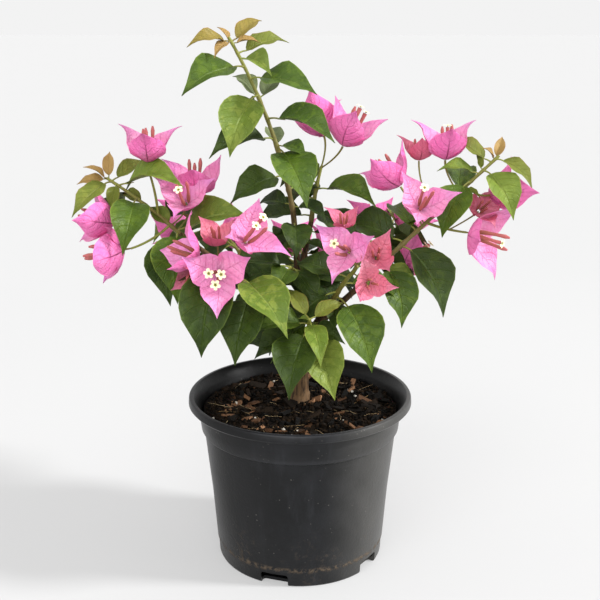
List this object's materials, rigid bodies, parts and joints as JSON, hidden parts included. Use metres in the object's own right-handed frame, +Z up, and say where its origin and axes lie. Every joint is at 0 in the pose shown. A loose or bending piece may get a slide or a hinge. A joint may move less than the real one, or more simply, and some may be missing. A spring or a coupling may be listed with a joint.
{
  "type": "potted bougainvillea bush",
  "caption": "Young flowering bougainvillea bush with a tall leader, spreading boughs, heart-shaped leaves and papery pink bracts, standing in a round black plastic nursery pot.",
  "frame": {"origin": "centre of the pot's flat underside", "axes": "+Z up, -Y the side that the front sprays and most blossom face, +X to the right of that view"},
  "size_m": [0.3278, 0.2517, 0.4055],
  "materials": {
    "pot": "black moulded polypropylene, satin, dusted with soil and lightly scuffed",
    "soil": "dark potting mix with bark chips, fibres and white perlite",
    "bark": "brown, lightly ridged bark, going to smooth olive green on the young stems",
    "foliage": "satin leaves from dark to yellow green, bronze at the tips",
    "blossom": "papery pink-lilac bracts with net veins, round cream star flowers"
  },
  "bodies": {
    "root": {"pot": "pot", "soil": "soil", "trunk": "bark", "bough_leader": "bark", "bough_left": "bark", "bough_right": "bark", "bough_front_left": "bark", "bough_front_right": "bark", "bough_upper": "bark", "bough_low_front": "bark", "bough_back_left": "bark", "bough_back_right": "bark", "bough_back_low": "bark", "spray_leader": "foliage", "spray_left": "blossom", "spray_right": "blossom", "spray_front_left": "blossom", "spray_front_right": "blossom", "spray_upper": "blossom", "spray_centre": "foliage", "spray_low_front": "foliage", "spray_back_left": "blossom", "spray_back_right": "blossom", "spray_back_low": "blossom"}
  },
  "joints": []
}
